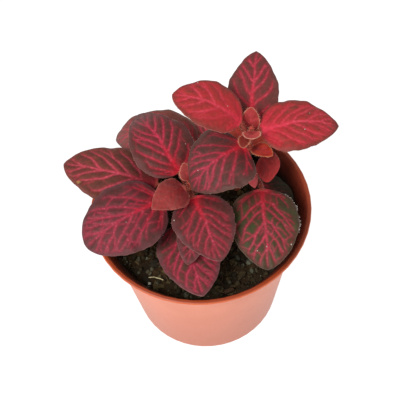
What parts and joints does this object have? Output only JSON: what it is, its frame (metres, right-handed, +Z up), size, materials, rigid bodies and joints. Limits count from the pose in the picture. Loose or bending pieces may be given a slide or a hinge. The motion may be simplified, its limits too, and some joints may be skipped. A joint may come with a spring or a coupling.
{
  "type": "potted nerve plant",
  "caption": "Young red-veined nerve plant with broad rounded leaves, growing in potting mix in a small round tapered plastic nursery pot.",
  "frame": {"origin": "centre of the pot's base, on the surface it stands on", "axes": "+Z up along the pot's axis; +X to the plant's right and +Y to its back, as seen from the side that the lowest leaves face"},
  "size_m": [0.1071, 0.09, 0.1216],
  "materials": {
    "pot": "satin",
    "soil": "matte",
    "stem": "satin",
    "leaf_dark": "satin",
    "leaf_bright": "satin",
    "leaf_young": "satin",
    "leaf_green": "satin",
    "bark": "matte",
    "perlite": "matte",
    "straw": "matte"
  },
  "bodies": {
    "root": {"pot": "pot", "soil": "soil", "stem_left": "stem", "stem_right": "stem", "stem_rear": "stem", "left_leaf_rear": "leaf_dark", "left_leaf_front": "leaf_dark", "left_leaf_over_rim": "leaf_dark", "left_leaf_outer": "leaf_dark", "left_leaf_inner": "leaf_dark", "rear_leaf_left": "leaf_dark", "rear_leaf_back": "leaf_dark", "front_leaf_long": "leaf_dark", "front_leaf_small": "leaf_dark", "right_leaf_back": "leaf_dark", "right_leaf_drooping": "leaf_dark", "right_leaf_under": "leaf_dark", "right_leaf_left": "leaf_bright", "right_leaf_right": "leaf_bright", "right_leaf_hanging": "leaf_bright", "right_leaf_bud": "leaf_bright", "left_tip_leaf_open": "leaf_young", "left_tip_leaf_small": "leaf_young", "right_tip_leaf_back": "leaf_young", "right_tip_leaf_front": "leaf_young", "right_tip_leaf_right": "leaf_young", "right_tip_leaf_left": "leaf_young", "right_tip_leaf_side": "leaf_young", "right_leaf_low_front": "leaf_green", "right_leaf_low_side": "leaf_green", "rear_leaf_right": "leaf_green", "right_leaf_low_back": "leaf_green", "bark_chip_front": "bark", "bark_chip_left": "bark", "bark_chip_rear": "bark", "perlite_grain_left": "perlite", "perlite_grain_rear": "perlite", "straw_fragment": "straw"}
  },
  "joints": []
}
